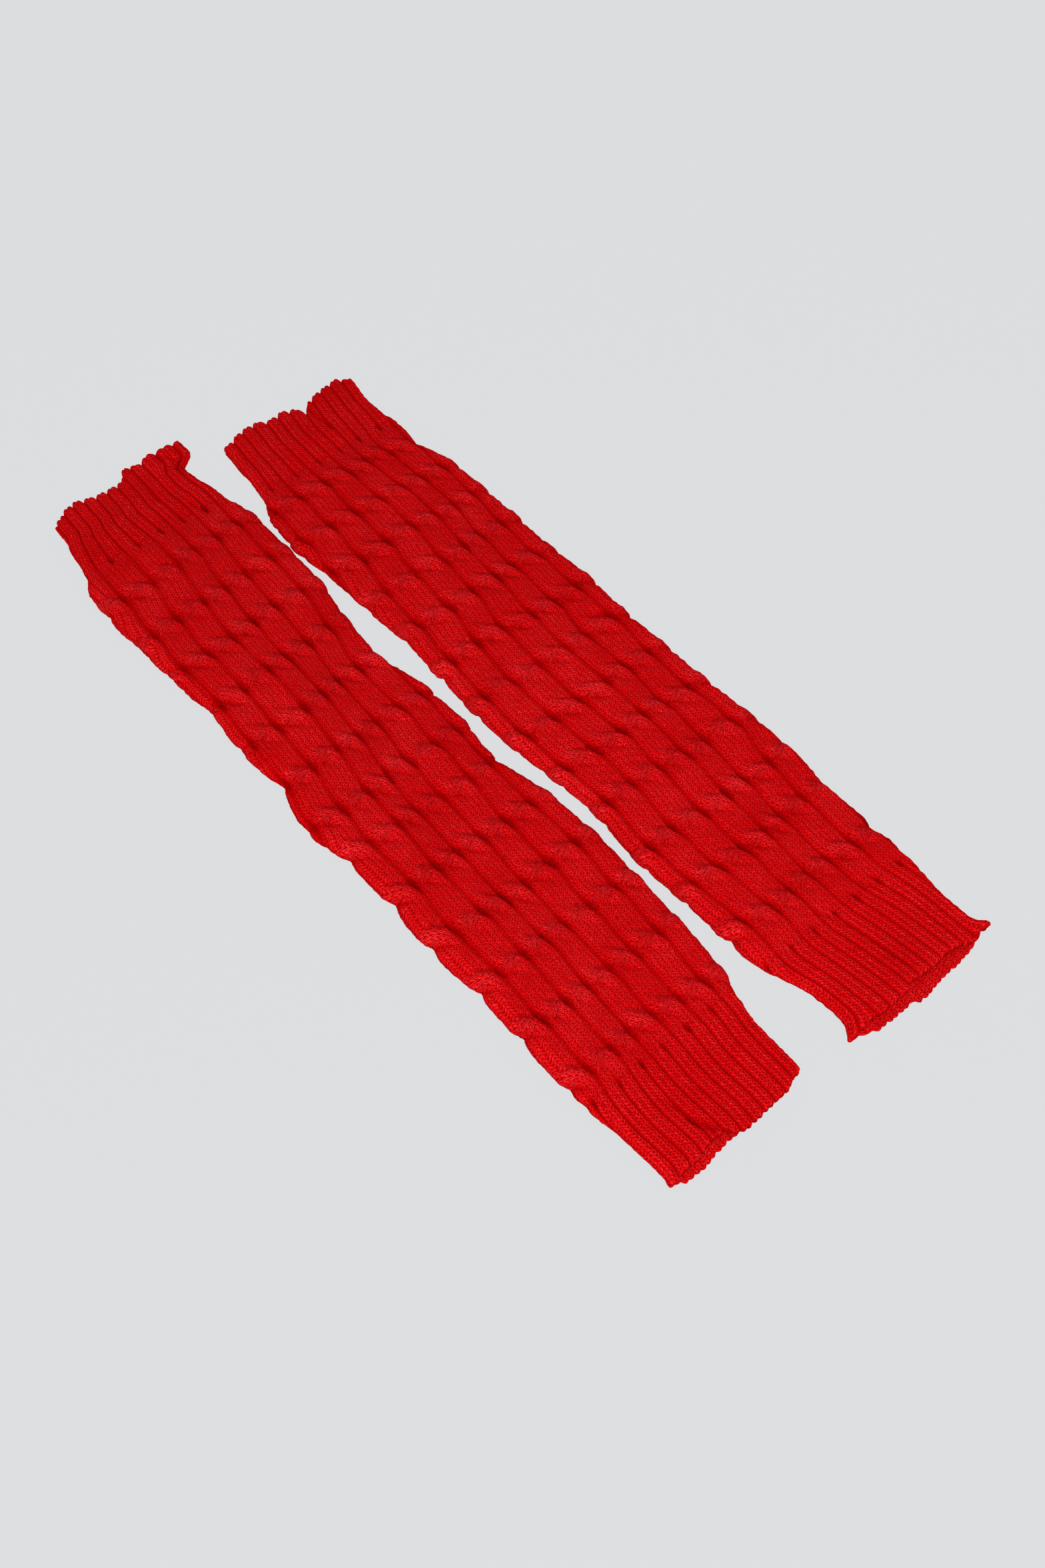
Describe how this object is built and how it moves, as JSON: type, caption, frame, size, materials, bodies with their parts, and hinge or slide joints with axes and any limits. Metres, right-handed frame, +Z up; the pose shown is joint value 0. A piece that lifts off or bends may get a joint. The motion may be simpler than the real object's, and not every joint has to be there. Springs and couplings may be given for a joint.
{
  "type": "pair of cable-knit leg warmers",
  "caption": "Pair of long tubular cable-knit leg warmers with ribbed cuffs at both ends, laid flat side by side.",
  "frame": {"origin": "on the surface that the pair lies on, under the middle of the pair's box", "axes": "+Y along the leg warmers, from the lower cuffs to the upper cuffs; +X from the left leg warmer to the right one, seen from above; +Z up, out of the surface"},
  "size_m": [0.1968, 0.4776, 0.0092],
  "materials": {
    "red_yarn": "soft matt wool-like yarn with a short fuzz"
  },
  "bodies": {
    "root": {"left_upper_cuff": "red_yarn", "left_cabled_leg": "red_yarn", "left_lower_cuff": "red_yarn", "right_upper_cuff": "red_yarn", "right_cabled_leg": "red_yarn", "right_lower_cuff": "red_yarn"}
  },
  "joints": []
}
